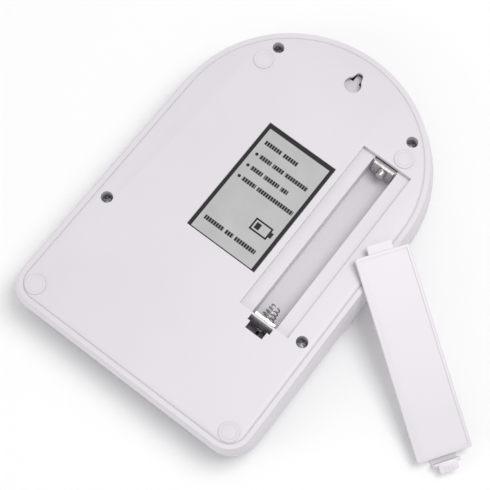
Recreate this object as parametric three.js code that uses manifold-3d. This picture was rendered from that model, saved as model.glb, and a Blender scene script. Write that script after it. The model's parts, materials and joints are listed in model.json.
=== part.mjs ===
// Small digital scale, lying face down with its battery cover off. Millimetres, +Z up.
// The weighing platform's face is the plane z = 0, and the underside looks up at z = UNDERSIDE.
// +Y points to the round end, and the display is at the square end, towards -Y.
import * as THREE from 'three';
import { mergeVertices } from 'three/addons/utils/BufferGeometryUtils.js';
import Module from 'manifold-3d';

const wasm = await Module();
wasm.setup();

// Driving dimensions
const HALF_WIDTH = 77.3;
const BACK = 114.8;
const FRONT = -116.8;
const CORNER_R = 17;
const UNDERSIDE = 28;
const GAP = 0.3;
const WALL = 2;

const PLATE = { thick: 2.4, halfWidth: 70.4, front: -111.8, back: 107.4, corner: 9.6, round: 1, rise: 0.7 };
const SHELL = { low: 5.8, high: 27.3, inset: 3.9, flare: 12, rim: 1.6, blank: -118.6 };
const FRONT_LEAN = { slope: 0.17, from: 25 };
const PLATFORM = { thick: 2.6, inset: 6.5, front: -65.5, corner: 8, travel: 0.5 };
const CARRIER = { low: 2.9, high: 4.9, width: 96, front: -42, back: 88 };
const DISPLAY = { y: -88.5, width: 62, length: 25, thick: 1.2 };
const KEY = { x: 50, y: -88.5, width: 18, length: 10, travel: 0.6 };

const WELLS = [[-64.3, -44.8], [64.3, -44.8], [-45.5, 82.9], [45.5, 82.9]];
const FEET = [[-62.8, -105.3], [62.8, -105.3], [-47.7, 71.7], [47.7, 71.7]];
const WELL = { r: 3.3, depth: 6, boss: 5.6, bossDeep: 9, hole: 1.9 };
const SCREW = { head: 2.8, headHigh: 1.5, shank: 1.4, length: 11 };
const FOOT = { r: 5.2, high: 1.9, proud: 0.8 };

const LABEL = { y: 6.85, width: 44, length: 73.5, thick: 0.25 };
const KEYHOLE = { y: 90.5, r: 4.9, neck: 3.6, slot: 2.2, slotY: 96.8 };
const POCKET = { half: 8, deep: 5.9, skin: 1.8, tongueY: 94.3 };

const BAY = { x: 41.65, y: 8.6, width: 31.3, length: 112.7, deep: 2.4, rim: 1, floor: 1.5 };
const TROUGH = { width: 15.6, low: -47, high: 63.4, deep: 17, wall: 1.8 };
const CONTACT = { width: 12.6, low: 16, high: 3.2, sheet: 0.5, tag: 14, middle: 9.2, back: 1.5 };
const PIP = { r: 3.1, length: 2.8, narrow: 2.3 };
const LATCH = { wide: 14.2, narrow: 10.8, step: 3.4, length: 7.8, deep: 8 };
const TAB = { width: 14, length: 4.6, thick: 1.5, floor: 4.4 };
const COVER = { width: 30.7, length: 111, thick: 1.9, panel: 0.5, border: 1.8 };
const COVER_REST = { x: 113.4, y: -11.5, z: 21.05, yaw: 55.5, pitch: 13.7 };

const CELL = { width: 12, length: 70, low: 10.2, high: 20.2, reach: 25, hole: 1.9 };
const BOARD = { y: -86.5, width: 96, length: 30, low: 12.6, thick: 1.6 };
const BOARD_SCREWS = [-40, 40];
const BOARD_SCREW_Y = BOARD.y + 8;

// Materials
const plastic = (color, roughness) => new THREE.MeshStandardMaterial({ color, roughness, metalness: 0 });
const metal = (color, roughness) => new THREE.MeshStandardMaterial({ color, roughness, metalness: 1 });
const WHITE = plastic(0xe8e4e9, 0.42);
const FOOT_WHITE = plastic(0xe2dee2, 0.7);
const GREY = plastic(0xb9bbbf, 0.45);
const CLEAR = plastic(0x3a4046, 0.12);
const GLASS = plastic(0x8c9a86, 0.2);
const BOARD_GREEN = plastic(0x2f6b45, 0.5);
const BLACK = plastic(0x1c1c1e, 0.5);
const RED = plastic(0xa82a24, 0.5);
const NICKEL = metal(0xc4c0b8, 0.3);
const STEEL = metal(0x54545a, 0.4);
const ALUMINIUM = metal(0xb4b8bc, 0.4);

// Solids
function solid(geometry) {
  const bare = geometry.clone();
  bare.deleteAttribute('normal');
  bare.deleteAttribute('uv');
  const merged = mergeVertices(bare, 1e-5);
  const vertProperties = new Float32Array(merged.attributes.position.array);
  const triVerts = new Uint32Array(merged.index.array);
  return new wasm.Manifold(new wasm.Mesh({ numProp: 3, vertProperties, triVerts }));
}

function join(first, ...others) {
  return others.reduce((sum, other) => sum.add(other), first);
}

function cut(body, ...tools) {
  return tools.reduce((rest, tool) => rest.subtract(tool), body);
}

function part(name, body, material) {
  const made = body.getMesh();
  const geometry = new THREE.BufferGeometry();
  geometry.setAttribute('position', new THREE.BufferAttribute(made.vertProperties, 3));
  geometry.setIndex(new THREE.BufferAttribute(made.triVerts, 1));
  geometry.computeVertexNormals();
  const mesh = new THREE.Mesh(geometry, material);
  mesh.name = name;
  return mesh;
}

// A box between two heights, centred on x, y.
function block(x, y, width, length, low, high) {
  const geometry = new THREE.BoxGeometry(width, length, high - low);
  return solid(geometry.translate(x, y, (low + high) / 2));
}

// An upright cylinder or cone between two heights.
function rod(x, y, r, low, high, segments = 24, topR = r) {
  const geometry = new THREE.CylinderGeometry(topR, r, high - low, segments);
  return solid(geometry.rotateX(Math.PI / 2).translate(x, y, (low + high) / 2));
}

// A flat outline carried up between two heights.
function slab(shape, low, high) {
  const geometry = new THREE.ExtrudeGeometry(shape, { depth: high - low, bevelEnabled: false });
  return solid(geometry.translate(0, 0, low));
}

// The same, with both rims rounded inwards by `round` over a height of `rise`.
function roundedSlab(shape, low, high, round, rise, bevelSegments = 2) {
  const geometry = new THREE.ExtrudeGeometry(shape, {
    depth: high - low - 2 * rise, bevelThickness: rise, bevelSize: round, bevelOffset: -round, bevelSegments,
  });
  return solid(geometry.translate(0, 0, low + rise));
}

// Points along an arc, both ends included, with its angles in quarter turns.
function arc(x, y, r, from, to, steps) {
  return Array.from({ length: steps + 1 }, (_, i) => {
    const angle = (from + (to - from) * i / steps) * Math.PI / 2;
    return new THREE.Vector2(x + r * Math.cos(angle), y + r * Math.sin(angle));
  });
}

// A D: a half circle at +Y, straight sides, and two rounded corners at the front edge.
function dShape(halfWidth, front, back, corner) {
  return new THREE.Shape([
    ...arc(0, back - halfWidth, halfWidth, 0, 2, 40),
    ...arc(-halfWidth + corner, front + corner, corner, 2, 3, 7),
    ...arc(halfWidth - corner, front + corner, corner, 3, 4, 7),
  ]);
}

function roundedRect(x, y, width, length, r, steps = 4) {
  const across = width / 2 - r;
  const along = length / 2 - r;
  return new THREE.Shape([
    ...arc(x + across, y + along, r, 0, 1, steps),
    ...arc(x - across, y + along, r, 1, 2, steps),
    ...arc(x - across, y - along, r, 2, 3, steps),
    ...arc(x + across, y - along, r, 3, 4, steps),
  ]);
}

// A round wire along a list of points.
function wire(points, r, steps, segments = 8) {
  const section = new THREE.Shape();
  section.absarc(0, 0, r, 0, 2 * Math.PI, false);
  const extrudePath = new THREE.CatmullRomCurve3(points.map((p) => new THREE.Vector3(...p)));
  return solid(new THREE.ExtrudeGeometry(section, { extrudePath, steps, curveSegments: segments }));
}

// Base cover. Whatever is added under the plate runs up into it, to the height ROOT.
const ROOT = UNDERSIDE - 1;
const ABOVE = UNDERSIDE + 1;

function plateShape(grow) {
  return dShape(PLATE.halfWidth + grow, PLATE.front - grow, PLATE.back + grow, PLATE.corner + grow);
}

function plate() {
  return roundedSlab(plateShape(0), UNDERSIDE - PLATE.thick, UNDERSIDE, PLATE.round, PLATE.rise, 3);
}

// The hole that the cover's spring latch snaps into: a wide step, then a narrower finger notch.
function latchCuts() {
  const wall = TROUGH.low - TROUGH.wall;
  const floor = UNDERSIDE - LATCH.deep;
  return [
    block(BAY.x, wall - LATCH.step / 2, LATCH.wide, LATCH.step, floor, ABOVE),
    block(BAY.x, wall - LATCH.length / 2, LATCH.narrow, LATCH.length, floor, ABOVE),
  ];
}

const KEY_MIDDLE = (KEYHOLE.y + KEYHOLE.slotY) / 2;

function keyholePocket() {
  return block(0, KEY_MIDDLE, 2 * POCKET.half, 21, UNDERSIDE - POCKET.deep, ROOT);
}

// A round hole that narrows into a slot, over a pocket whose far end is open round a tongue.
function keyholeCuts() {
  const skin = UNDERSIDE - POCKET.skin;
  const through = skin - 1.2;
  const inside = 2 * POCKET.half - 3;
  const slot = new THREE.Shape([
    new THREE.Vector2(-KEYHOLE.neck, KEYHOLE.y + 2),
    new THREE.Vector2(KEYHOLE.neck, KEYHOLE.y + 2),
    ...arc(0, KEYHOLE.slotY, KEYHOLE.slot, 0, 2, 10),
  ]);
  return [
    rod(0, KEYHOLE.y, KEYHOLE.r, through, ABOVE, 32),
    slab(slot, through, ABOVE),
    block(0, KEY_MIDDLE, inside, 18, UNDERSIDE - POCKET.deep + 1.5, skin),
    cut(
      block(0, KEYHOLE.slotY + 1.6, inside, 8, UNDERSIDE - POCKET.deep - 1, skin),
      block(0, POCKET.tongueY, 2 * KEYHOLE.slot - 0.6, 10, UNDERSIDE - POCKET.deep - 2, skin + 1),
    ),
  ];
}

function cellSeatCuts() {
  return [
    rod(0, -CELL.reach, 3.4, UNDERSIDE - 2.4, ABOVE, 20),
    rod(0, -CELL.reach, CELL.hole, CELL.high - 1, ABOVE, 16),
  ];
}

function baseCover() {
  const bossLow = UNDERSIDE - WELL.bossDeep;
  const footSeat = UNDERSIDE + FOOT.proud - FOOT.high - GAP;
  const labelSeat = UNDERSIDE - LABEL.thick - GAP;
  const adds = [
    keyholePocket(),
    block(0, -CELL.reach, 16, 18, CELL.high + GAP, ROOT),
    ...WELLS.map(([x, y]) => rod(x, y, WELL.boss, bossLow, ROOT)),
  ];
  const cuts = [
    block(BAY.x, BAY.y, BAY.width, BAY.length, UNDERSIDE - BAY.deep - GAP, ABOVE),
    ...latchCuts(),
    ...keyholeCuts(),
    ...cellSeatCuts(),
    block(0, LABEL.y, LABEL.width + 2 * GAP, LABEL.length + 2 * GAP, labelSeat, ABOVE),
    ...WELLS.map(([x, y]) => rod(x, y, WELL.r, UNDERSIDE - WELL.depth, ABOVE, 32)),
    ...WELLS.map(([x, y]) => rod(x, y, WELL.hole, bossLow - 1, ABOVE, 20)),
    ...FEET.map(([x, y]) => rod(x, y, FOOT.r + GAP, footSeat, ABOVE, 32)),
  ];
  return part('base_cover', cut(join(plate(), ...adds), ...cuts), WHITE);
}

// The battery bay's floor, fixed under the base cover's opening, with a trough for two cells.
function batteryTray() {
  const { width, low, high, deep, wall } = TROUGH;
  const middle = (low + high) / 2;
  const top = UNDERSIDE - BAY.deep - GAP;
  const tagHeight = UNDERSIDE - CONTACT.tag;
  const tabY = BAY.y + BAY.length / 2 + 2;
  const floor = block(BAY.x, BAY.y, BAY.width + 2 * BAY.rim, BAY.length + 2 * BAY.rim, top - BAY.floor, top);
  const walls = block(BAY.x, middle, width + 2 * wall, high - low + 2 * wall, UNDERSIDE - deep - wall, top);
  const cuts = [
    block(BAY.x, middle, width, high - low, UNDERSIDE - deep, ABOVE),
    block(BAY.x, tabY, TAB.width + 0.8, 9, UNDERSIDE - TAB.floor, ABOVE),
    ...[high + 1, low - 1].map((y) => block(BAY.x, y, 3.6, 4, tagHeight - 1.6, tagHeight + 1.6)),
  ];
  return part('battery_tray', cut(join(floor, walls), ...cuts), WHITE);
}

// Top housing
// The housing's outside, or its inside when set in by the wall: it flares to a rim at mid height,
// and its front wall leans in towards the platform.
function housingBlank(inset) {
  const low = SHELL.high - 2 * SHELL.flare - SHELL.rim;
  const shape = dShape(HALF_WIDTH - inset, SHELL.blank + inset, BACK - inset, CORNER_R - inset);
  const blank = roundedSlab(shape, low, SHELL.high, SHELL.inset, SHELL.flare, 1);
  const front = dShape(HALF_WIDTH - inset, FRONT + inset, 2 * BACK, CORNER_R - inset);
  const lean = new THREE.ExtrudeGeometry(front, { depth: UNDERSIDE, bevelEnabled: false });
  lean.translate(0, 0, -FRONT_LEAN.from);
  lean.applyMatrix4(new THREE.Matrix4().makeShear(0, 0, 0, 0, 0, -FRONT_LEAN.slope));
  return blank.intersect(solid(lean.translate(0, 0, FRONT_LEAN.from)));
}

// The cover plate sits inside the rim of this shell.
function topHousing() {
  const seat = UNDERSIDE - PLATE.thick - GAP;
  const shell = housingBlank(0).intersect(block(0, 0, 400, 400, SHELL.low, ABOVE));
  const room = housingBlank(WALL).intersect(block(0, 0, 400, 400, SHELL.low + WALL, seat));
  const mouth = slab(plateShape(GAP), seat - 1, ABOVE);
  const bosses = WELLS.map(([x, y]) => rod(x, y, 4.4, SHELL.low + 1, UNDERSIDE - WELL.bossDeep - GAP));
  const posts = BOARD_SCREWS.map((x) => rod(x, BOARD_SCREW_Y, 3.2, SHELL.low + 1, BOARD.low - GAP));
  const pilots = [
    ...WELLS.map(([x, y]) => rod(x, y, SCREW.shank + GAP, SHELL.low + WALL + 1, 60, 20)),
    ...BOARD_SCREWS.map((x) => rod(x, BOARD_SCREW_Y, 1.3, BOARD.low - 5, 60, 16)),
  ];
  const windows = [
    block(0, DISPLAY.y, DISPLAY.width + 2 * GAP, DISPLAY.length + 2 * GAP, SHELL.low - 1,
      SHELL.low + DISPLAY.thick + GAP),
    block(0, DISPLAY.y, DISPLAY.width - 6, DISPLAY.length - 5, SHELL.low - 1, SHELL.low + 5),
    block(0, CELL.reach, 22, 24, SHELL.low - 1, SHELL.low + 5),
    ...[-KEY.x, KEY.x].map((x) => slab(roundedRect(x, KEY.y, KEY.width + 0.8, KEY.length + 0.8, 5.2, 6),
      SHELL.low - 1, SHELL.low + 5)),
  ];
  const walls = join(cut(shell, room, mouth), ...bosses, ...posts);
  return part('top_housing', cut(walls, ...pilots, ...windows), WHITE);
}

function foot(index) {
  const [x, y] = FEET[index];
  const top = UNDERSIDE + FOOT.proud;
  const disc = rod(x, y, FOOT.r, top - FOOT.high, top, 32);
  const groove = cut(rod(x, y, 4.2, top - 0.35, top + 1, 32), rod(x, y, 3.5, top - 1, top + 2, 32));
  return part(`foot_${index + 1}`, cut(disc, groove), FOOT_WHITE);
}

function crossHeadScrew(name, x, y, headLow, r, shank, length, material) {
  const headHigh = SCREW.headHigh;
  const head = rod(x, y, r, headLow, headLow + headHigh, 24, r * 0.86);
  const drive = [[r * 1.3, 0.7], [0.7, r * 1.3]].map(([wide, long]) => (
    block(x, y, wide, long, headLow + headHigh - 0.9, headLow + headHigh + 1)));
  const stem = rod(x, y, shank, headLow - length, headLow + 0.2, 16);
  return part(name, cut(join(head, stem), ...drive), material);
}

function housingScrew(index) {
  const [x, y] = WELLS[index];
  const seat = UNDERSIDE - WELL.depth + GAP;
  const name = `housing_screw_${index + 1}`;
  return crossHeadScrew(name, x, y, seat, SCREW.head, SCREW.shank, SCREW.length, STEEL);
}

function ratingLabel() {
  const low = UNDERSIDE - LABEL.thick;
  return part('rating_label', block(0, LABEL.y, LABEL.width, LABEL.length, low, UNDERSIDE), GREY);
}

// Battery contacts and cover
function contactPlate(y, inward) {
  const { width, sheet } = CONTACT;
  const low = UNDERSIDE - CONTACT.low;
  const high = UNDERSIDE - CONTACT.high;
  const tagMiddle = UNDERSIDE - CONTACT.tag;
  const face = block(BAY.x, y, width, sheet, low, high);
  const foldedTop = block(BAY.x, y - inward * 0.9, width, sheet, high - 3, high);
  const bridge = block(BAY.x, y - inward * 0.45, width, 1.4, high - sheet, high);
  const tag = block(BAY.x, y - inward * 2.2, 2.8, 4.8, tagMiddle - 0.3, tagMiddle + 0.3);
  return join(face, foldedTop, bridge, tag);
}

function positiveContact() {
  const y = TROUGH.high - CONTACT.back;
  const pip = new THREE.CylinderGeometry(PIP.r, PIP.narrow, PIP.length, 20);
  pip.translate(BAY.x, y - PIP.length / 2, UNDERSIDE - CONTACT.middle);
  return part('positive_contact', join(contactPlate(y, -1), solid(pip)), NICKEL);
}

function negativeContact() {
  return part('negative_contact', contactPlate(TROUGH.low + CONTACT.back, 1), NICKEL);
}

function batterySpring() {
  const turns = 4.5;
  const count = 54;
  const start = TROUGH.low + CONTACT.back + 0.85;
  const points = Array.from({ length: count }, (_, i) => {
    const along = i / (count - 1);
    const angle = along * turns * 2 * Math.PI;
    const r = 3.9 - 1.3 * along;
    return [BAY.x + r * Math.cos(angle), start + 9 * along, UNDERSIDE - CONTACT.middle + r * Math.sin(angle)];
  });
  return part('battery_spring', wire(points, 0.35, 72, 3), NICKEL);
}

// The cover is made flat with its outer face up at z = 0 and its tab towards +Y, then laid where it leans.
function batteryCover() {
  const half = COVER.length / 2;
  const face = roundedSlab(roundedRect(0, 0, COVER.width, COVER.length, 1.2), -COVER.thick, 0, 0.4, 0.4);
  const panel = block(0, 0, COVER.width - 2 * COVER.border, COVER.length - 2 * COVER.border, -COVER.panel, 1);
  const tab = join(
    block(0, half + 1, TAB.width, 6, -COVER.thick - TAB.thick, -COVER.thick + 0.2),
    block(0, half + TAB.length / 2, TAB.width - 0.6, TAB.length, -COVER.thick - 0.4, -COVER.thick + 0.3),
  );
  const springBack = block(0, -half + 0.7, 14, 1.2, -6.4, -0.6);
  const springBend = block(0, -half - 1.5, 14, 5.6, -7, -5.9);
  const springFront = block(0, -half - 3.7, 14, 1.2, -6.4, -0.2);
  const ears = block(0, -half - 4, 15.2, 1.8, -2.6, -1.2);
  const finger = slab(roundedRect(0, -half - 5.9, 10.4, 5.4, 0.8), -1.2, 0);
  const grips = [-2, 0, 2].map((x) => block(x, -half - 6.9, 0.7, 2.4, -0.1, 0.3));
  const body = join(cut(face, panel), tab, springBack, springBend, springFront, ears, finger, ...grips);
  const lid = part('battery_cover', body, WHITE);
  const seat = new THREE.Group();
  const { degToRad } = THREE.MathUtils;
  seat.rotation.set(degToRad(COVER_REST.pitch), 0, degToRad(COVER_REST.yaw), 'ZXY');
  seat.position.set(COVER_REST.x, COVER_REST.y, COVER_REST.z);
  seat.add(lid);
  return seat;
}

// Weighing mechanism
function loadCell() {
  const middle = (CELL.low + CELL.high) / 2;
  const bar = block(0, 0, CELL.width, CELL.length, CELL.low, CELL.high);
  const bores = [-6, 6].map((y) => {
    const bore = new THREE.CylinderGeometry(3.6, 3.6, CELL.width + 2, 24);
    return solid(bore.rotateZ(Math.PI / 2).translate(0, y, middle));
  });
  const waist = block(0, 0, CELL.width + 2, 12, middle - 1, middle + 1);
  const holes = [-CELL.reach, CELL.reach].map((y) => rod(0, y, CELL.hole, CELL.low - 1, CELL.high + 1, 20));
  return part('load_cell', cut(bar, ...bores, waist, ...holes), ALUMINIUM);
}

function gaugeCover(name, low) {
  return part(name, roundedSlab(roundedRect(0, 0, 9, 20, 2), low, low + 1.4, 0.5, 0.5, 1), FOOT_WHITE);
}

function cellScrew() {
  return crossHeadScrew('cell_screw', 0, -CELL.reach, UNDERSIDE - 2.1, SCREW.head, 1.5, 13, STEEL);
}

function carrierScrew() {
  const screw = crossHeadScrew('carrier_screw', 0, 0, 0, SCREW.head, 1.5, 11, STEEL);
  screw.rotation.x = Math.PI;
  screw.position.set(0, CELL.reach, CARRIER.low + 1.9);
  return screw;
}

function platformCarrier() {
  const middle = (CARRIER.front + CARRIER.back) / 2;
  const plate = roundedSlab(roundedRect(0, middle, CARRIER.width, CARRIER.back - CARRIER.front, 10),
    CARRIER.low, CARRIER.high, 0.4, 0.4, 1);
  const boss = block(0, CELL.reach, 18, 20, CARRIER.high - 0.5, CELL.low - PLATFORM.travel - GAP);
  const hole = rod(0, CELL.reach, CELL.hole, 0, CELL.low, 20);
  const sink = rod(0, CELL.reach, 3.4, 0, CARRIER.low + 2.2, 24);
  return part('platform_carrier', cut(join(plate, boss), hole, sink), GREY);
}

function platform() {
  const back = BACK - PLATFORM.inset;
  const shape = dShape(HALF_WIDTH - PLATFORM.inset, PLATFORM.front, back, PLATFORM.corner);
  return part('platform', roundedSlab(shape, 0, PLATFORM.thick, 1.2, 1, 3), WHITE);
}

// Electronics
function circuitBoard() {
  const holes = BOARD_SCREWS.map((x) => rod(x, BOARD_SCREW_Y, 1.5, 0, 30, 16));
  const plate = block(0, BOARD.y, BOARD.width, BOARD.length, BOARD.low, BOARD.low + BOARD.thick);
  return part('circuit_board', cut(plate, ...holes), BOARD_GREEN);
}

function boardScrew(name, x) {
  const seat = BOARD.low + BOARD.thick + GAP;
  return crossHeadScrew(name, x, BOARD_SCREW_Y, seat, 2.2, 1, 5, STEEL);
}

function chipBlob() {
  const low = BOARD.low + BOARD.thick + GAP;
  return part('chip_blob', rod(0, BOARD.y + 3, 6, low, low + 1.6, 24, 3.5), BLACK);
}

function lcdModule() {
  const low = SHELL.low + WALL + GAP;
  const cell = block(0, DISPLAY.y, DISPLAY.width - 2, DISPLAY.length - 1, low, BOARD.low - GAP);
  return part('lcd_module', cell, GLASS);
}

function displayWindow() {
  const shape = roundedRect(0, DISPLAY.y, DISPLAY.width, DISPLAY.length, 2);
  return part('display_window', slab(shape, SHELL.low, SHELL.low + DISPLAY.thick), CLEAR);
}

function key(name, x) {
  const shape = roundedRect(x, KEY.y, KEY.width, KEY.length, 4.9, 6);
  const cap = roundedSlab(shape, SHELL.low - 0.9, SHELL.low + 2.2, 0.6, 0.6);
  const stem = rod(x, KEY.y, 2.4, SHELL.low + 1, SHELL.low + 3.2, 20);
  return part(name, join(cap, stem), GREY);
}

function tactSwitch(name, x) {
  const low = SHELL.low + 3.2 + KEY.travel + GAP;
  const plunger = rod(x, KEY.y, 1.7, low, low + 1.2, 16);
  const body = block(x, KEY.y, 6, 6, low + 1, BOARD.low - GAP);
  return part(name, join(body, plunger), BLACK);
}

function lead(name, points, material) {
  return part(name, wire(points, 0.7, 16, 2), material);
}

const scale = new THREE.Group();
const boardTop = BOARD.low + BOARD.thick + GAP + 0.8;
const tagTop = UNDERSIDE - CONTACT.tag;
scale.add(
  baseCover(), batteryTray(), topHousing(), ratingLabel(), batteryCover(),
  ...FEET.map((_, index) => foot(index)),
  ...WELLS.map((_, index) => housingScrew(index)),
  positiveContact(), negativeContact(), batterySpring(),
  platform(), platformCarrier(), carrierScrew(),
  loadCell(), cellScrew(),
  gaugeCover('gauge_cover_low', CELL.low - 1.7), gaugeCover('gauge_cover_high', CELL.high + GAP),
  circuitBoard(), ...BOARD_SCREWS.map((x, index) => boardScrew(`board_screw_${index + 1}`, x)), chipBlob(),
  lcdModule(), displayWindow(),
  key('tare_key', -KEY.x), key('unit_key', KEY.x),
  tactSwitch('tare_switch', -KEY.x), tactSwitch('unit_switch', KEY.x),
  lead('negative_lead', [[BAY.x, -50.6, tagTop], [BAY.x, -54.4, tagTop - 0.4], [36, -64.5, 15],
    [30, -74.5, boardTop]], BLACK),
  lead('positive_lead', [[BAY.x, 67.9, tagTop], [BAY.x, 71.6, tagTop], [30, 71.6, tagTop], [26, 64, tagTop],
    [26, 0, tagTop], [26, -60, 15], [22, -74.5, boardTop]], RED),
  lead('cell_lead', [[0, -35.5, 15.2], [0, -44, 15], [4, -60, 15.6], [8, -76.5, boardTop]], FOOT_WHITE),
);

export default scale;
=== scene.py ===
import json
import math

import bmesh
import bpy
import numpy as np
from mathutils import Matrix, Vector


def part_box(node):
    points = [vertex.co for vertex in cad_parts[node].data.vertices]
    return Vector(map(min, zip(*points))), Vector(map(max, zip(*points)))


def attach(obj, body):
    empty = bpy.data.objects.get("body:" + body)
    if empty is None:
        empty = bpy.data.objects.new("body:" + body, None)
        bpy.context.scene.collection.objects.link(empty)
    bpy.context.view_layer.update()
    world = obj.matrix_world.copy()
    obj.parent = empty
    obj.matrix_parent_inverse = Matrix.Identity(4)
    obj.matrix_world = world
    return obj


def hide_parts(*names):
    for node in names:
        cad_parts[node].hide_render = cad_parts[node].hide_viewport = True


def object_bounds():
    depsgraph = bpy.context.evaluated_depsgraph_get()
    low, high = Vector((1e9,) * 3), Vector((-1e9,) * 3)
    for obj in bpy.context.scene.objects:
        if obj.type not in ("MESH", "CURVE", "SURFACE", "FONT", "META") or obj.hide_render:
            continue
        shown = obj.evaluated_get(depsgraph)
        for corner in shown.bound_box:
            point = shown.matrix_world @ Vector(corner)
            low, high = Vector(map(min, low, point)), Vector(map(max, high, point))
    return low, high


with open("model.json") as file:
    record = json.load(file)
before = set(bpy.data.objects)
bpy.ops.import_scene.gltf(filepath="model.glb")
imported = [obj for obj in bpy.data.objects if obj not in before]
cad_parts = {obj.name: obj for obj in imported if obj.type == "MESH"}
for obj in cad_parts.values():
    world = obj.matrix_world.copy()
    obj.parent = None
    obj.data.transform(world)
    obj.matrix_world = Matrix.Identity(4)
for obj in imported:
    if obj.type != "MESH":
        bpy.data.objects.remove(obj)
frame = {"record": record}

CAD_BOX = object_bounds()
MM = 0.001

# Places read from the frame: the label and the battery spring.
LABEL_LOW, LABEL_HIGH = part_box("rating_label")
LABEL_MIDDLE = (LABEL_LOW + LABEL_HIGH) / 2
SPRING_LOW, SPRING_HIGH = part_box("battery_spring")


# ---------------------------------------------------------------- shader maths

class Reading:
    """A number or vector inside a material. Arithmetic on it adds Math nodes."""

    def __init__(self, finish, socket):
        self.finish = finish
        self.socket = socket

    def math(self, operation, *others, clamp=False):
        return self.finish.node(
            "ShaderNodeMath", {"operation": operation, "use_clamp": clamp}, [self, *others]
        )

    def __add__(self, other):
        return self.math("ADD", other)

    def __sub__(self, other):
        return self.math("SUBTRACT", other)

    def __rsub__(self, other):
        return self.finish.node("ShaderNodeMath", {"operation": "SUBTRACT"}, [other, self])

    def __mul__(self, other):
        return self.math("MULTIPLY", other)

    __radd__ = __add__
    __rmul__ = __mul__

    def __abs__(self):
        return self.math("ABSOLUTE")

    def lower(self, other):
        return self.math("MINIMUM", other)

    def higher(self, other):
        return self.math("MAXIMUM", other)

    def clamped(self):
        return self.math("ADD", 0.0, clamp=True)


class Finish:
    """One material: a Principled shader and the nodes that feed it."""

    def __init__(self, name, **constants):
        self.material = bpy.data.materials.new(name)
        self.material.use_nodes = True
        self.tree = self.material.node_tree
        self.shader = self.tree.nodes["Principled BSDF"]
        for socket, value in constants.items():
            self.shader.inputs[socket.replace("_", " ")].default_value = value

    def node(self, kind, settings=None, values=(), output=0):
        """Adds a node: its settings first, then the values or links of its sockets."""
        made = self.tree.nodes.new(kind)
        for key, value in (settings or {}).items():
            if key == "stops":
                for index, (place, colour) in enumerate(value):
                    ramp = made.color_ramp.elements
                    stop = ramp[index] if index < 2 else ramp.new(place)
                    stop.position = place
                    stop.color = colour
            else:
                setattr(made, key, value)
        pairs = values.items() if isinstance(values, dict) else enumerate(values)
        for key, value in pairs:
            if isinstance(value, Reading):
                self.tree.links.new(value.socket, made.inputs[key])
            elif value is not None:
                made.inputs[key].default_value = value
        return Reading(self, made.outputs[output])

    def place(self):
        """The point's own coordinates, in metres."""
        return self.node("ShaderNodeTexCoord", output="Object")

    def axes(self):
        """x, y and z in millimetres."""
        place = self.place()
        split = self.tree.nodes.new("ShaderNodeSeparateXYZ")
        self.tree.links.new(place.socket, split.inputs[0])
        return [Reading(self, split.outputs[axis]) * (1 / MM) for axis in "XYZ"]

    def noise(self, size_mm, detail=3.0, roughness=0.5, place=None):
        """Fractal noise whose features are about size_mm across, from 0 to 1."""
        values = {"Vector": place or self.place(), "Scale": 1 / (size_mm * MM), "Detail": detail,
                  "Roughness": roughness}
        return self.node("ShaderNodeTexNoise", {}, values)

    def blend(self, factor, low, high):
        """A colour between two colours."""
        return self.node("ShaderNodeMix", {"data_type": "RGBA"}, {0: factor, 6: low, 7: high}, output=2)

    def bump(self, height, distance_mm, strength=1.0, over=None):
        values = {"Strength": strength, "Distance": distance_mm * MM, "Height": height}
        if over is not None:
            values["Normal"] = over
        return self.node("ShaderNodeBump", {}, values)

    def feed(self, **sockets):
        for name, value in sockets.items():
            self.tree.links.new(value.socket, self.shader.inputs[name.replace("_", " ")])
        return self.material


def rgb(red, green, blue):
    return (red, green, blue, 1.0)


# ---------------------------------------------------------------- finishes

def moulded_plastic(name, pale, deep, roughness, grain_mm=0.25, grain_depth=0.004, coat=0.0):
    """Injection-moulded plastic: a slow drift between two tones, a fine grain, and uneven polish."""
    finish = Finish(name, IOR=1.5, Coat_Weight=coat, Coat_Roughness=0.12)
    drift = finish.noise(38, 2.0)
    speck = finish.noise(1.3, 2.0)
    tone = ((drift - 0.5) * 1.7 + (speck - 0.5) * 0.5 + 0.5).clamped()
    grain = finish.noise(grain_mm, 2.0)
    wave = finish.noise(24, 1.0)
    rough = (drift - 0.5) * 0.10 + (grain - 0.5) * 0.10 + roughness
    bump = finish.bump(wave, 0.05, 0.35, finish.bump(grain, grain_depth, 0.6))
    return finish.feed(Base_Color=finish.blend(tone, deep, pale), Roughness=rough, Normal=bump)


def brushed_metal(name, pale, deep, roughness, scratch_mm=0.18):
    """Plated or milled metal: cloudy tarnish and fine scratches."""
    finish = Finish(name, Metallic=1.0)
    cloud = finish.noise(3.0, 3.0)
    scratch = finish.noise(scratch_mm, 2.0)
    rough = (cloud - 0.5) * 0.25 + (scratch - 0.5) * 0.12 + roughness
    bump = finish.bump(scratch, 0.004, 0.5)
    colour = finish.blend(cloud.clamped(), deep, pale)
    return finish.feed(Base_Color=colour, Roughness=rough.clamped(), Normal=bump)


def within(x, y, centre, half):
    """How far inside a rectangle a point is, in millimetres: positive inside."""
    return (half[0] - abs(x - centre[0])).lower(half[1] - abs(y - centre[1]))


def edge(distance, soft=0.08):
    """1 inside a shape and 0 outside, over a soft edge."""
    return (distance * (1 / soft) + 0.5).clamped()


# Rows of word-like bars on the label, in millimetres from its middle: height, bullet, and (start, length).
LABEL_ROWS = (
    (26.0, None, ((-17.3, 10.8), (-5.2, 9.4))),
    (17.5, -16.7, ((-14.6, 7.5), (-5.8, 6.8), (2.3, 14.6))),
    (9.5, -16.7, ((-14.6, 7.5), (-5.8, 9.6), (5.2, 4.6))),
    (1.7, -16.7, ((-14.6, 8.8), (-4.6, 23.4))),
    (-28.0, None, ((-17.1, 12.3), (-3.6, 5.1), (2.7, 13.4))),
)
LETTER_HALF_MM = 1.3
BATTERY_MARK = (10.6, -15.2)


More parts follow.
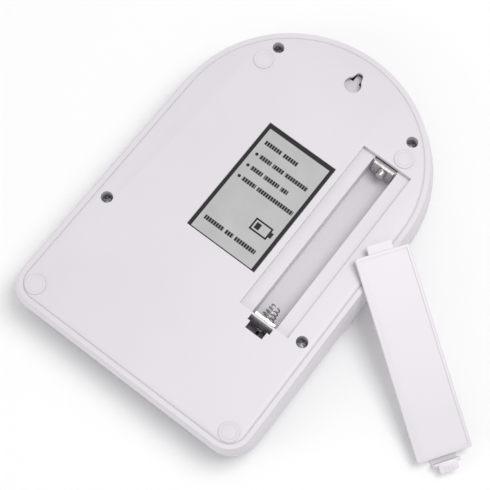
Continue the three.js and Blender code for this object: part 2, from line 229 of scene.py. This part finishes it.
def label_foil():
    """Silver-grey foil with a black border, rows of word-like bars, bullets and a battery outline."""
    finish = Finish("label_foil", IOR=1.45, Metallic=0.15)
    x, y, _ = finish.axes()
    x = x - LABEL_MIDDLE.x / MM
    y = y - LABEL_MIDDLE.y / MM
    field = within(x, y, (0, -1.15), (19.9, 35.2))
    ink = 1 - edge(field)
    stroke = finish.node("ShaderNodeMath", {"operation": "SINE"}, [x * (2 * math.pi / 1.55)])
    letters = edge(stroke * 0.5 + 0.42, 0.25)
    for height, bullet, words in LABEL_ROWS:
        for start, length in words:
            bar = within(x, y, (start + length / 2, height), (length / 2, LETTER_HALF_MM))
            ink = ink.higher(edge(bar) * letters)
        if bullet is not None:
            ink = ink.higher(edge(0.95 - distance(finish, x - bullet, y - height)))
    left, height = BATTERY_MARK
    case = within(x, y, (left, height), (5.6, 3.8))
    hollow = within(x, y, (left, height), (4.6, 2.8))
    nub = within(x, y, (left + 6.3, height), (0.9, 1.7))
    charge = within(x, y, (left - 2.2, height), (1.5, 1.9))
    outline = (edge(case) - edge(hollow)).higher(edge(nub)).higher(edge(charge))
    ink = ink.higher(outline).clamped()
    cloud = finish.noise(14, 3.0)
    foil = finish.noise(0.35, 2.0)
    sheen = ((cloud - 0.5) * 1.6 + 0.5).clamped()
    silver = finish.blend(sheen, rgb(0.41, 0.405, 0.41), rgb(0.48, 0.475, 0.48))
    rough = ink * 0.15 + 0.42 + (foil - 0.5) * 0.1
    colour = finish.blend(ink, silver, rgb(0.008, 0.008, 0.009))
    return finish.feed(Base_Color=colour, Roughness=rough, Normal=finish.bump(foil, 0.003, 0.4))


def distance(finish, x, y):
    return finish.node("ShaderNodeMath", {"operation": "SQRT"}, [x * x + y * y])


def lcd_glass():
    """A grey-green liquid crystal cell with its faint segments: four boxes of seven dim bars."""
    finish = Finish("lcd_glass", IOR=1.5, Roughness=0.15)
    x, y, _ = finish.axes()
    y = y - (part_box("lcd_module")[0].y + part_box("lcd_module")[1].y) / 2 / MM
    ink = None
    for place in (-18, -6, 6, 18):
        bars = [((place, side), (3.0, 0.6)) for side in (-7, 0, 7)]
        bars += [((place + turn * 3.6, side), (0.6, 2.8)) for turn in (-1, 1) for side in (-3.5, 3.5)]
        for centre, half in bars:
            shape = edge(within(x, y, centre, half))
            ink = shape if ink is None else ink.higher(shape)
    cloud = finish.noise(20, 2.0)
    ground = finish.blend(cloud, rgb(0.26, 0.31, 0.23), rgb(0.32, 0.37, 0.28))
    return finish.feed(Base_Color=finish.blend(ink * 0.8, ground, rgb(0.03, 0.035, 0.03)))


def circuit_green():
    """Solder mask with darker tracks in a weave of fine lines."""
    finish = Finish("circuit_green", IOR=1.5)
    x, y, _ = finish.axes()
    lines = [finish.node("ShaderNodeMath", {"operation": "SINE"}, [axis * 2.4]) for axis in (x, y)]
    track = edge(lines[0].higher(lines[1]) - 0.8, 0.2) * edge(finish.noise(9, 1.0) - 0.5, 0.05)
    colour = finish.blend(track, rgb(0.02, 0.13, 0.05), rgb(0.04, 0.24, 0.09))
    return finish.feed(Base_Color=colour, Roughness=(1 - track) * 0.1 + 0.3)


HOUSING = moulded_plastic("housing_white", rgb(0.715, 0.685, 0.725), rgb(0.69, 0.66, 0.70), 0.36)
COVER = moulded_plastic("cover_white", rgb(0.755, 0.725, 0.765), rgb(0.735, 0.705, 0.745), 0.34)
PLATFORM = moulded_plastic("platform_white", rgb(0.75, 0.735, 0.76), rgb(0.72, 0.705, 0.735), 0.2, coat=0.3)
FOOT = moulded_plastic("foot_white", rgb(0.715, 0.685, 0.72), rgb(0.695, 0.665, 0.705), 0.5, 0.4, 0.01)
SEALANT = moulded_plastic("sealant_white", rgb(0.82, 0.82, 0.79), rgb(0.74, 0.74, 0.7), 0.4, 1.0, 0.05)
GREY = moulded_plastic("key_grey", rgb(0.50, 0.51, 0.53), rgb(0.45, 0.46, 0.48), 0.4)
BLACK = moulded_plastic("part_black", rgb(0.03, 0.03, 0.032), rgb(0.015, 0.015, 0.016), 0.4)
RED = moulded_plastic("lead_red", rgb(0.55, 0.04, 0.03), rgb(0.42, 0.03, 0.02), 0.4)
SMOKE = moulded_plastic("window_smoke", rgb(0.05, 0.055, 0.06), rgb(0.035, 0.04, 0.045), 0.08, 0.8, 0.0, 0.5)
NICKEL = brushed_metal("nickel", rgb(0.66, 0.65, 0.64), rgb(0.50, 0.49, 0.48), 0.26)
STEEL = brushed_metal("dark_steel", rgb(0.30, 0.30, 0.31), rgb(0.18, 0.18, 0.185), 0.42)
ALUMINIUM = brushed_metal("milled_aluminium", rgb(0.70, 0.71, 0.72), rgb(0.58, 0.59, 0.60), 0.34)
LABEL = label_foil()
LCD = lcd_glass()
BOARD = circuit_green()

NODE_FINISH = {
    "platform": PLATFORM, "platform_carrier": GREY, "tare_key": GREY, "unit_key": GREY,
    "gauge_cover_low": SEALANT, "gauge_cover_high": SEALANT, "cell_lead": SEALANT,
    "negative_lead": BLACK, "positive_lead": RED, "chip_blob": BLACK, "tare_switch": BLACK,
    "unit_switch": BLACK, "display_window": SMOKE, "lcd_module": LCD, "circuit_board": BOARD,
    "load_cell": ALUMINIUM, "cell_screw": STEEL, "carrier_screw": STEEL, "board_screw_1": STEEL,
    "board_screw_2": STEEL, "rating_label": LABEL, "positive_contact": NICKEL,
    "negative_contact": NICKEL, "base_cover": HOUSING, "battery_tray": HOUSING,
    "top_housing": HOUSING, "battery_cover": COVER,
}


def body_of_node(node):
    for body, nodes in frame["record"]["behaviour"]["bodies"].items():
        if node in nodes:
            return body


# ---------------------------------------------------------------- surfaces

def mesh_piece(name, points, faces, node, finish, smooth_deg=40.0):
    """A new piece that stands for a CAD node and rides on its body."""
    mesh = bpy.data.meshes.new(name)
    mesh.from_pydata(points.reshape(-1, 3).tolist(), [], faces)
    mesh.update()
    piece = bpy.data.objects.new(name, mesh)
    bpy.context.scene.collection.objects.link(piece)
    settle(piece, node, finish, smooth_deg)
    return piece


def extra_piece(name, points, faces, body, finish):
    """A new piece that stands for no CAD node."""
    mesh = bpy.data.meshes.new(name)
    mesh.from_pydata(points.reshape(-1, 3).tolist(), [], faces)
    mesh.update()
    piece = bpy.data.objects.new(name, mesh)
    bpy.context.scene.collection.objects.link(piece)
    shade(piece, finish, 40.0)
    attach(piece, body)
    return piece


def shade(piece, finish, smooth_deg):
    """Smooth shading with the sharp edges kept, and one material."""
    mesh = piece.data
    mesh.materials.clear()
    mesh.materials.append(finish)
    mesh.shade_smooth()
    mesh.set_sharp_from_angle(angle=math.radians(smooth_deg))


def settle(piece, node, finish, smooth_deg=40.0):
    """Finishes a piece that stands for a CAD node: its shading, its body, and the node hidden."""
    shade(piece, finish, smooth_deg)
    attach(piece, body_of_node(node))
    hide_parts(node)


def grid_faces(rows, columns, close_rows=False, close_columns=True):
    """Quads over a grid of points, joined round in either direction."""
    i, j = np.meshgrid(
        np.arange(rows if close_rows else rows - 1),
        np.arange(columns if close_columns else columns - 1), indexing="ij",
    )
    i2, j2 = (i + 1) % rows, (j + 1) % columns
    corners = np.stack([i * columns + j, i * columns + j2, i2 * columns + j2, i2 * columns + j], -1)
    return corners.reshape(-1, 4).tolist()


def turned(name, node, centre, profile, finish, segments=48, smooth_deg=35.0):
    """A lathe: each profile point (r, z) goes round the upright axis, and both ends are on that axis.

    point(i, t) = centre + (r_i cos t, r_i sin t, z_i)
    """
    angle = np.linspace(0, 2 * math.pi, segments, endpoint=False)
    r, z = np.array(profile[1:-1]).T
    ring = np.stack([
        centre[0] + r[:, None] * np.cos(angle), centre[1] + r[:, None] * np.sin(angle),
        centre[2] + z[:, None] + 0 * angle,
    ], -1).reshape(-1, 3)
    ends = np.array([[centre[0], centre[1], centre[2] + profile[k][1]] for k in (0, -1)])
    points = np.vstack([ring, ends])
    first, last = len(ring), len(ring) + 1
    rows = len(profile) - 2
    faces = grid_faces(rows, segments)
    around = np.arange(segments)
    after = (around + 1) % segments
    faces += [[first, int(b), int(a)] for a, b in zip(around, after)]
    base = (rows - 1) * segments
    faces += [[last, int(base + a), int(base + b)] for a, b in zip(around, after)]
    return mesh_piece(name, points, faces, node, finish, smooth_deg)


def rounded(profile, radius, steps=4):
    """The profile with each inner corner replaced by a short curve through its two cut-back points."""
    points = [np.array(p, float) for p in profile]
    out = [points[0]]
    for before, here, after in zip(points, points[1:], points[2:]):
        back = before - here
        on = after - here
        cut = min(radius, np.linalg.norm(back) / 2.1, np.linalg.norm(on) / 2.1)
        start = here + back / np.linalg.norm(back) * cut
        end = here + on / np.linalg.norm(on) * cut
        t = np.linspace(0, 1, steps + 1)[:, None]
        out += list((1 - t) ** 2 * start + 2 * t * (1 - t) * here + t ** 2 * end)
    out.append(points[-1])
    return [tuple(p) for p in out]


def wire_along(name, node, path, radius, finish, sides=10):
    """A round wire: a circle carried along a path, square to it, with domed ends.

    point(i, t) = path_i + radius_i (cos t side_i + sin t up_i)
    """
    path = np.asarray(path)
    way = np.gradient(path, axis=0)
    way /= np.linalg.norm(way, axis=1)[:, None]
    side = np.cross(way, [0.0, 1.0, 0.0])
    side /= np.linalg.norm(side, axis=1)[:, None]
    up = np.cross(way, side)
    angle = np.linspace(0, 2 * math.pi, sides, endpoint=False)
    thick = np.full(len(path), radius)
    thick[[0, -1]] *= 0.5
    ring = (
        path[:, None] + thick[:, None, None]
        * (np.cos(angle)[None, :, None] * side[:, None] + np.sin(angle)[None, :, None] * up[:, None])
    )
    faces = grid_faces(len(path), sides)
    faces.append(list(range(sides))[::-1])
    faces.append([(len(path) - 1) * sides + k for k in range(sides)])
    piece = mesh_piece(name, ring, faces, node, finish, 60.0)
    return piece


def softened_copy(node, finish, round_mm, smooth_deg=32.0):
    """A copy of a CAD node's mesh with its doubles merged, its flats joined and its edges rounded."""
    source = bpy.data.objects[node]
    piece = bpy.data.objects.new(node + "_moulding", source.data.copy())
    bpy.context.scene.collection.objects.link(piece)
    work = bmesh.new()
    work.from_mesh(piece.data)
    bmesh.ops.remove_doubles(work, verts=work.verts, dist=2e-6)
    bmesh.ops.dissolve_limit(
        work, angle_limit=math.radians(0.6), verts=work.verts, edges=work.edges, use_dissolve_boundaries=False
    )
    work.to_mesh(piece.data)
    work.free()
    settle(piece, node, finish, smooth_deg)
    if round_mm:
        bevel = piece.modifiers.new("edges", "BEVEL")
        bevel.width = round_mm * MM
        bevel.segments = 2
        bevel.limit_method = "ANGLE"
        bevel.angle_limit = math.radians(50)
        bevel.use_clamp_overlap = True
        bevel.harden_normals = True
    return piece


# ---------------------------------------------------------------- pieces

FOOT_FILL = 0.26 * MM

# The seam's lip: the plate's front corners, then its half width, its step down and its height.
PLATE_CORNER = 9.6 * MM
LIP_BITE = 0.27 * MM
LIP_STEP = 0.95 * MM
LIP_TALL = 0.9 * MM
DOME_POINTS = 121
QUARTER_POINTS = 17

softened_copy("base_cover", HOUSING, 0.25)
softened_copy("battery_tray", HOUSING, 0.25)
softened_copy("top_housing", HOUSING, 0.2)
softened_copy("battery_cover", COVER, 0.18)
softened_copy("platform", PLATFORM, 0.0)


def d_outline(half_width, front, back, corner):
    """A D: a half circle at the back, straight sides, and two quarter circles at the front corners."""
    dome = np.linspace(0, math.pi, DOME_POINTS)
    quarter = np.linspace(0, math.pi / 2, QUARTER_POINTS)
    arcs = [
        (0, back - half_width, half_width, dome),
        (-half_width + corner, front + corner, corner, math.pi + quarter),
        (half_width - corner, front + corner, corner, 1.5 * math.pi + quarter),
    ]
    return np.vstack([np.stack([x + r * np.cos(t), y + r * np.sin(t)], -1) for x, y, r, t in arcs])


def seam_lip():
    """The cover plate's lip in the seam: a rectangle carried round a D outline between the plate and the rim.

    point(i, k) = outline_k, set out by inset_i, at height_i
    """
    low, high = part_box("base_cover")
    half_width, front, back = high.x, low.y, high.y
    top = high.z - LIP_STEP
    section = [(-LIP_BITE, top), (LIP_BITE, top), (LIP_BITE, top - LIP_TALL), (-LIP_BITE, top - LIP_TALL)]
    rows = []
    for out, height in section:
        outline = d_outline(half_width + out, front - out, back + out, PLATE_CORNER + out)
        rows.append(np.column_stack([outline, np.full(len(outline), height)]))
    points = np.stack(rows)[::-1]
    faces = grid_faces(len(section), points.shape[1], close_rows=True)
    return extra_piece("seam_lip", points, faces, "housing", HOUSING)


def battery_spring():
    """A cone-shaped coil: x and z go round a circle whose radius shrinks as y moves along."""
    turns = 4.6
    t = np.linspace(0, 1, 220)
    middle = (SPRING_LOW + SPRING_HIGH) / 2
    wire = 0.42 * MM
    radius = 4.0 * MM - 1.4 * MM * t
    length = SPRING_HIGH.y - SPRING_LOW.y - 2 * wire
    pitch = np.clip(t * 1.12 - 0.06, 0.01 * t, 1)
    angle = t * turns * 2 * math.pi
    path = np.stack([
        middle.x + radius * np.cos(angle),
        SPRING_LOW.y + wire + length * pitch,
        middle.z + radius * np.sin(angle),
    ], -1)
    wire_along("battery_spring_coil", "battery_spring", path, wire, NICKEL, 10)


def round_foot(node):
    """A moulded foot: a disc that fills its seat, with a shallow ring groove and a soft rim."""
    low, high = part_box(node)
    centre = ((low.x + high.x) / 2, (low.y + high.y) / 2, low.z)
    r = (high.x - low.x) / 2 + FOOT_FILL
    tall = high.z - low.z
    groove = tall - 0.22 * MM
    outer, inner = 0.80 * r, 0.66 * r
    slope = 0.25 * MM
    profile = [(0, 0), (r, 0), (r, tall), (outer, tall), (outer - slope, groove),
               (inner + slope, groove), (inner, tall), (0, tall)]
    turned(node + "_disc", node, centre, rounded(profile, 0.45 * MM, 4), FOOT)


def cross_head_screw(node):
    """A pan-head screw: a lathe with a thread of small ridges, and a cross pressed into its head.

    The head is a grid in r and t: its height drops inside a cross of two slots by a smooth step.
    """
    low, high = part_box(node)
    centre = np.array([(low.x + high.x) / 2, (low.y + high.y) / 2])
    r = (high.x - low.x) / 2
    segments, rings = 96, 20
    t = np.linspace(0, 2 * math.pi, segments, endpoint=False)
    radii = r * np.linspace(1, 0, rings, endpoint=False) ** 0.9
    rr, tt = np.meshgrid(radii, t, indexing="ij")
    x, y = rr * np.cos(tt), rr * np.sin(tt)
    dome = high.z - 0.45 * MM * (rr / r) ** 2
    arm = 0.48 * MM
    reach = 0.72 * r
    slot = np.maximum(
        np.minimum(arm - np.abs(x), reach - np.abs(y)), np.minimum(arm - np.abs(y), reach - np.abs(x))
    )
    drop = np.clip(slot / (0.12 * MM) + 0.5, 0, 1) * 0.85 * MM
    head = np.stack([centre[0] + x, centre[1] + y, dome - drop], -1)
    shank = r * 0.5
    seat = high.z - 1.5 * MM
    z = np.linspace(seat, low.z, 60)
    ridge = shank * (0.86 + 0.14 * np.abs(np.cos((z - low.z) / (0.9 * MM) * math.pi)))
    ridge[-1] = shank * 0.3
    below = [(r, seat)] + list(zip(ridge, z))
    body = np.array([
        np.stack([centre[0] + a * np.cos(t), centre[1] + a * np.sin(t), np.full(segments, b)], -1)
        for a, b in below[::-1]
    ])
    points = np.vstack([body.reshape(-1, 3), head.reshape(-1, 3)])
    rows = len(below) + rings
    tip = np.array([[centre[0], centre[1], low.z], [centre[0], centre[1], high.z - 0.85 * MM]])
    points = np.vstack([points, tip])
    faces = grid_faces(rows, segments)
    around, after = np.arange(segments), (np.arange(segments) + 1) % segments
    last = (rows - 1) * segments
    faces += [[rows * segments, int(b), int(a)] for a, b in zip(around, after)]
    faces += [[rows * segments + 1, int(last + a), int(last + b)] for a, b in zip(around, after)]
    mesh_piece(node + "_threaded", points, faces, node, STEEL, 38.0)


seam_lip()
battery_spring()
for number in range(1, 5):
    round_foot(f"foot_{number}")
    cross_head_screw(f"housing_screw_{number}")

for node_name, finish in NODE_FINISH.items():
    node_object = bpy.data.objects[node_name]
    for material_slot in node_object.material_slots:
        material_slot.material = finish


# ---------------------------------------------------------------- stage, light and camera

def stage_floor():
    finish = Finish("stage_pale", Roughness=0.9)
    tone = finish.noise(400, 1.0)
    finish.feed(Base_Color=finish.blend(tone, rgb(0.93, 0.93, 0.935), rgb(0.95, 0.95, 0.95)))
    reach = 6.0
    corners = np.array([[-reach, -reach, 0], [reach, -reach, 0], [reach, reach, 0], [-reach, reach, 0]])
    mesh = bpy.data.meshes.new("stage_floor")
    mesh.from_pydata(corners.tolist(), [], [[0, 1, 2, 3]])
    mesh.materials.append(finish.material)
    floor = bpy.data.objects.new("stage_floor", mesh)
    floor.location.z = CAD_BOX[0].z - 0.0001
    bpy.context.scene.collection.objects.link(floor)


def softbox(name, place, size, watts, aim=(0.03, 0.0, 0.0)):
    lamp = bpy.data.lights.new(name, "AREA")
    lamp.shape = "SQUARE"
    lamp.size = size
    lamp.energy = watts
    rig = bpy.data.objects.new(name, lamp)
    rig.location = place
    rig.rotation_mode = "QUATERNION"
    rig.rotation_quaternion = (Vector(place) - Vector(aim)).to_track_quat("Z", "Y")
    bpy.context.scene.collection.objects.link(rig)


def soft_world(strength):
    world = bpy.data.worlds.new("soft_world")
    world.use_nodes = True
    world.node_tree.nodes["Background"].inputs["Color"].default_value = rgb(1, 1, 1)
    world.node_tree.nodes["Background"].inputs["Strength"].default_value = strength
    bpy.context.scene.world = world


CAMERA_PLACE = Vector((0.1133, -0.23295, 0.7103))
CAMERA_AIM = Vector((0.00936, -0.02091, 0.028))
CAMERA_TURN_DEG = 37.0
LENS_MM = 100.77
SENSOR_MM = 36.0


def camera():
    """A camera at a place, aimed at a point, with the image's upward direction turned about Z."""
    data = bpy.data.cameras.new("camera")
    data.sensor_width = SENSOR_MM
    data.lens = LENS_MM
    rig = bpy.data.objects.new("camera", data)
    turn = math.radians(CAMERA_TURN_DEG)
    back = (CAMERA_PLACE - CAMERA_AIM).normalized()
    right = Vector((-math.sin(turn), math.cos(turn), 0)).cross(back).normalized()
    up = back.cross(right)
    rig.matrix_world = Matrix.Translation(CAMERA_PLACE) @ Matrix((right, up, back)).transposed().to_4x4()
    bpy.context.scene.collection.objects.link(rig)
    bpy.context.scene.camera = rig


stage_floor()
soft_world(0.63)
softbox("key_light", (0.30, 0.30, 1.25), 0.7, 7.7)
softbox("front_fill", (-0.55, -1.0, 0.45), 0.6, 2.5)
camera()
bpy.context.scene.view_settings.view_transform = "Standard"
